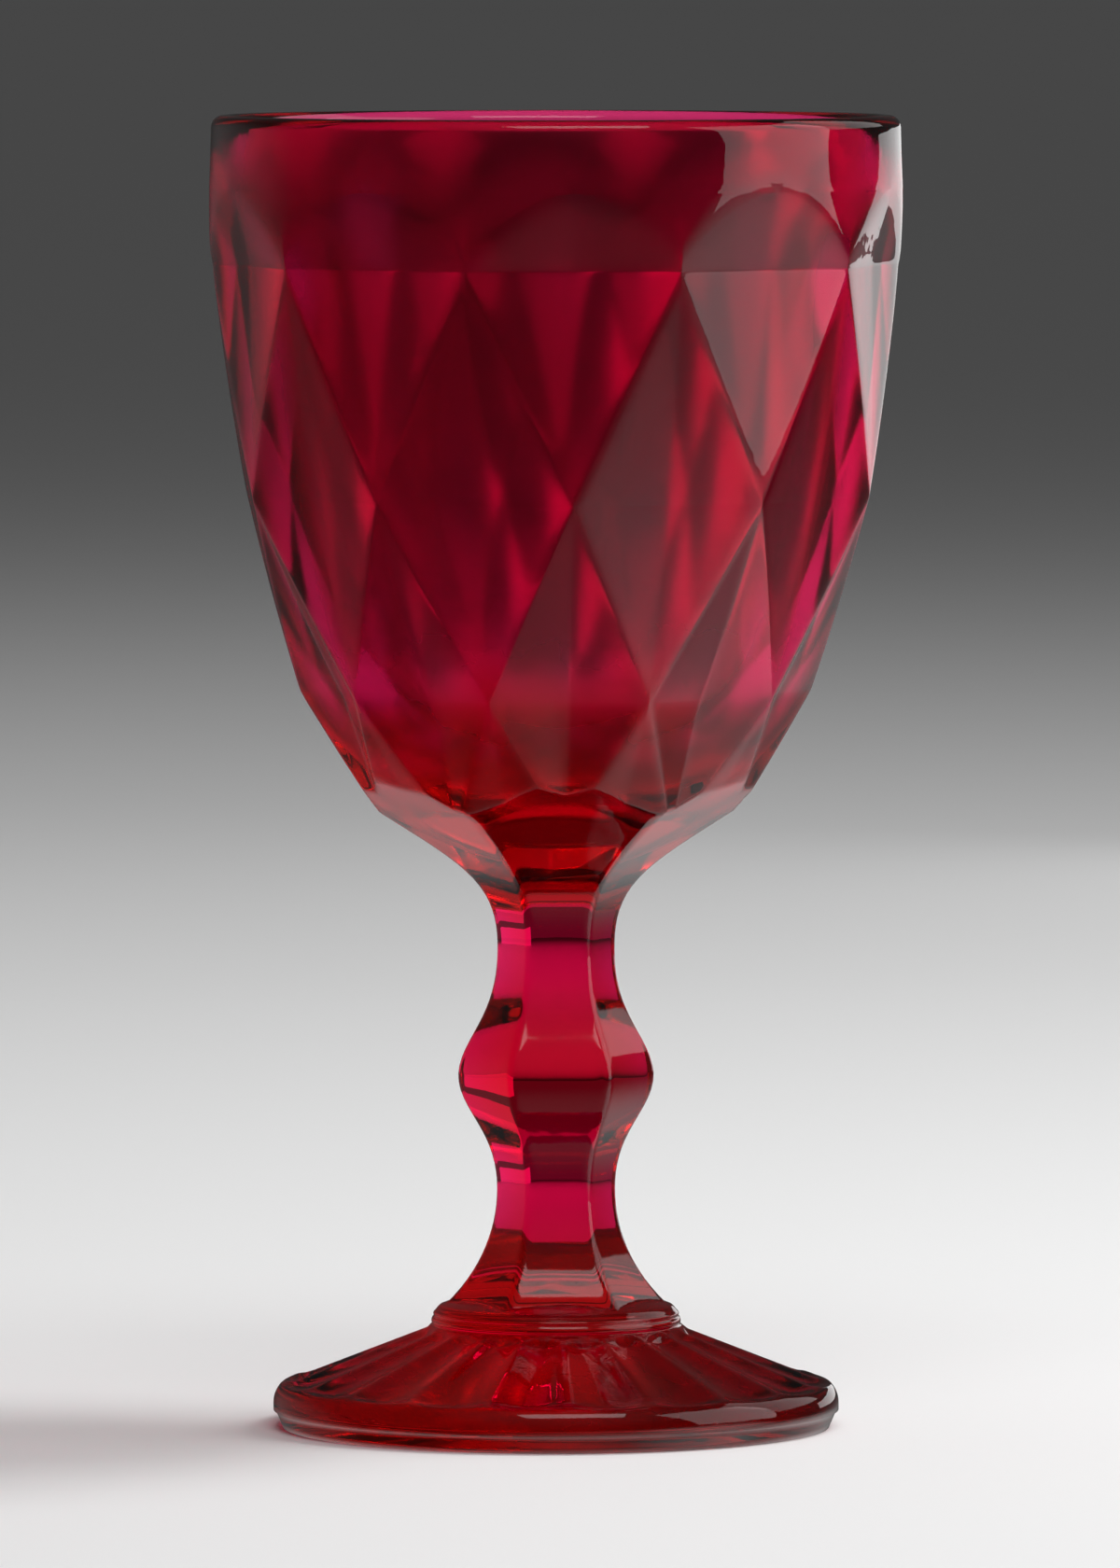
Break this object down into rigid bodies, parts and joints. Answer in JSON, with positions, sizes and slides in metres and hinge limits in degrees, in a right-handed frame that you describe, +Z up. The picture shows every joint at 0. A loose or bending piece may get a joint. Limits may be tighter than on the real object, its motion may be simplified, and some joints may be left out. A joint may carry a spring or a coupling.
{
  "type": "water goblet",
  "caption": "Red pressed-glass water goblet: diamond-faceted bowl, knopped six-sided stem, ring collar and fluted round foot; holds a drink.",
  "frame": {"origin": "on the goblet's axis, in the plane of the ring under the foot that it rests on", "axes": "+Z up along the axis from foot to rim; -Y is the front, where a stem face, a lower bowl diamond and a foot ridge look"},
  "size_m": [0.087, 0.087, 0.165],
  "materials": {
    "ruby_glass": "polished"
  },
  "bodies": {
    "root": {"bowl": "ruby_glass", "stem": "ruby_glass", "collar": "ruby_glass", "foot": "ruby_glass"}
  },
  "joints": []
}
